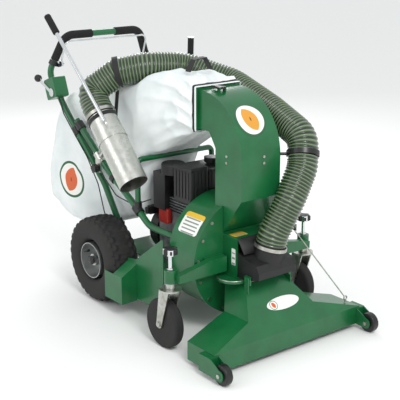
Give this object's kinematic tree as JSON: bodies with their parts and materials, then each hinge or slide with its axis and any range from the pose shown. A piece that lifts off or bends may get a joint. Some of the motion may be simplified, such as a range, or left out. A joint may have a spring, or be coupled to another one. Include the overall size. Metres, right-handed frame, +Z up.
{
  "type": "leaf vacuum mulcher",
  "caption": "Walk-behind leaf vacuum mulcher with a wide nozzle, casters, fan housing, cloth bag, ribbed hose and a metal wand.",
  "frame": {"origin": "on the ground under the middle of the machine", "axes": "+Z up, -Y towards the nozzle at the front, +Y towards the handlebar, -X the operator's right hand"},
  "size_m": [0.832, 1.601, 1.2417],
  "materials": {
    "green_paint": "gloss",
    "black_paint": "satin",
    "zinc": "satin",
    "galvanised": "satin",
    "bright_steel": "polished",
    "cast_alloy": "matte",
    "rim_paint": "satin",
    "tyre_rubber": "matte",
    "boot_rubber": "matte",
    "foam": "matte",
    "hose_wall": "gloss",
    "black_plastic": "matte",
    "bag_cloth": "matte",
    "webbing": "matte"
  },
  "bodies": {
    "chassis": {"chassis_deck": "green_paint", "wheel_guards": "green_paint", "transaxle": "cast_alloy", "fan_housing": "green_paint", "fan_front_plate": "green_paint", "housing_bolts": "zinc", "lower_chute": "green_paint", "chute_elbow": "green_paint", "chute_bolts": "zinc", "intake_box": "green_paint", "intake_boot": "boot_rubber", "suction_hose": "hose_wall", "hose_clamps": "zinc", "hose_bracket": "black_paint", "wand": "galvanised", "wand_handle": "bright_steel", "wand_bracket": "green_paint", "straps": "webbing", "handlebar": "green_paint", "handle_grips": "foam", "frame_tubes": "green_paint", "bag_rest_bar": "green_paint", "tube_clamps": "black_paint", "control_box": "green_paint", "caster_arms": "green_paint", "debris_bag": "bag_cloth", "engine_block": "cast_alloy", "engine_shroud": "black_plastic", "fuel_tank": "black_plastic", "air_cleaner": "black_plastic", "muffler": "black_paint"},
    "fan": {"crankshaft": "bright_steel", "impeller": "black_paint"},
    "nozzle": {"nozzle_hood": "green_paint", "nozzle_brackets": "green_paint", "nozzle_axles": "zinc", "lift_cable": "zinc"},
    "gate": {"diverter_gate": "green_paint"},
    "bail": {"bail": "bright_steel"},
    "shift_lever": {"shift_lever": "bright_steel"},
    "height_lever": {"height_lever": "bright_steel"},
    "wand_knob": {"wand_knob": "black_plastic"},
    "fuel_cap": {"fuel_cap": "black_plastic"},
    "strap_latch": {"strap_latch": "black_plastic"},
    "starter_grip": {"starter_grip": "black_plastic"},
    "right_rear_wheel": {"right_tyre": "tyre_rubber", "right_rim": "rim_paint"},
    "right_nozzle_wheel": {"right_nozzle_wheel": "black_plastic"},
    "right_height_sleeve": {"right_height_sleeve": "zinc"},
    "right_height_screw": {"right_height_screw": "bright_steel"},
    "right_fork": {"right_fork": "zinc"},
    "right_caster_wheel": {"right_caster_wheel": "tyre_rubber"},
    "left_rear_wheel": {"left_tyre": "tyre_rubber", "left_rim": "rim_paint"},
    "left_nozzle_wheel": {"left_nozzle_wheel": "black_plastic"},
    "left_height_sleeve": {"left_height_sleeve": "zinc"},
    "left_height_screw": {"left_height_screw": "bright_steel"},
    "left_fork": {"left_fork": "zinc"},
    "left_caster_wheel": {"left_caster_wheel": "tyre_rubber"}
  },
  "joints": [
    {"name": "fan_spin", "type": "hinge", "parent": "chassis", "child": "fan", "pos_m": [0, -0.3, 0.32], "axis": [0, 1, 0], "continuous": true},
    {"name": "nozzle_float", "type": "hinge", "parent": "chassis", "child": "nozzle", "pos_m": [0, -0.562, 0.283], "axis": [1, 0, 0], "range_deg": [-4, 0]},
    {"name": "gate_slide", "type": "slide", "parent": "chassis", "child": "gate", "axis": [-1, 0, 0], "range_m": [0, 0.16]},
    {"name": "bail_swing", "type": "hinge", "parent": "chassis", "child": "bail", "pos_m": [0, 0.6, 1.001], "axis": [1, 0, 0], "range_deg": [-6, 0]},
    {"name": "shift_swing", "type": "hinge", "parent": "chassis", "child": "shift_lever", "pos_m": [-0.2865, 0.5845, 0.88], "axis": [1, 0, 0], "range_deg": [-20, 20]},
    {"name": "height_swing", "type": "hinge", "parent": "chassis", "child": "height_lever", "pos_m": [0.232, 0.256, 0.59], "axis": [1, 0, 0], "range_deg": [0, 16.01]},
    {"name": "knob_turn", "type": "hinge", "parent": "chassis", "child": "wand_knob", "pos_m": [-0.227, 0.312, 0.575], "axis": [1, 0, 0], "range_deg": [0, 720]},
    {"name": "cap_turn", "type": "hinge", "parent": "chassis", "child": "fuel_cap", "pos_m": [0.06, -0.13, 0.65], "axis": [0, 0, 1], "range_deg": [0, 120]},
    {"name": "latch_swing", "type": "hinge", "parent": "chassis", "child": "strap_latch", "pos_m": [-0.04, -0.316, 0.994], "axis": [1, 0, 0], "range_deg": [0, 110]},
    {"name": "starter_pull", "type": "slide", "parent": "chassis", "child": "starter_grip", "axis": [-1, 0, 0], "range_m": [0, 0.45]},
    {"name": "right_rear_spin", "type": "hinge", "parent": "chassis", "child": "right_rear_wheel", "pos_m": [-0.261, 0.23, 0.19], "axis": [1, 0, 0], "continuous": true},
    {"name": "right_nozzle_wheel_spin", "type": "hinge", "parent": "nozzle", "child": "right_nozzle_wheel", "pos_m": [-0.388, -0.757, 0.04], "axis": [1, 0, 0], "continuous": true},
    {"name": "right_height_slide", "type": "slide", "parent": "chassis", "child": "right_height_sleeve", "axis": [0, 0, 1], "range_m": [0, 0.02]},
    {"name": "right_height_turn", "type": "hinge", "parent": "chassis", "child": "right_height_screw", "pos_m": [-0.354, -0.392, 0.36], "axis": [0, 0, 1], "range_deg": [0, 1440.5]},
    {"name": "right_swivel", "type": "hinge", "parent": "right_height_sleeve", "child": "right_fork", "pos_m": [-0.354, -0.392, 0.27], "axis": [0, 0, 1], "continuous": true},
    {"name": "right_caster_spin", "type": "hinge", "parent": "right_fork", "child": "right_caster_wheel", "pos_m": [-0.354, -0.354, 0.101], "axis": [1, 0, 0], "continuous": true},
    {"name": "left_rear_spin", "type": "hinge", "parent": "chassis", "child": "left_rear_wheel", "pos_m": [0.261, 0.23, 0.19], "axis": [1, 0, 0], "continuous": true},
    {"name": "left_nozzle_wheel_spin", "type": "hinge", "parent": "nozzle", "child": "left_nozzle_wheel", "pos_m": [0.388, -0.757, 0.04], "axis": [1, 0, 0], "continuous": true},
    {"name": "left_height_slide", "type": "slide", "parent": "chassis", "child": "left_height_sleeve", "axis": [0, 0, 1], "range_m": [0, 0.02]},
    {"name": "left_height_turn", "type": "hinge", "parent": "chassis", "child": "left_height_screw", "pos_m": [0.354, -0.392, 0.36], "axis": [0, 0, 1], "range_deg": [0, 1440.5]},
    {"name": "left_swivel", "type": "hinge", "parent": "left_height_sleeve", "child": "left_fork", "pos_m": [0.354, -0.392, 0.27], "axis": [0, 0, 1], "continuous": true},
    {"name": "left_caster_spin", "type": "hinge", "parent": "left_fork", "child": "left_caster_wheel", "pos_m": [0.354, -0.354, 0.101], "axis": [1, 0, 0], "continuous": true}
  ],
  "couplings": [
    {"joint": "height_swing", "follows": "nozzle_float", "ratio": -4},
    {"joint": "right_height_turn", "follows": "right_height_slide", "rad_per_m": 1256.6},
    {"joint": "left_height_turn", "follows": "left_height_slide", "rad_per_m": 1256.6}
  ]
}
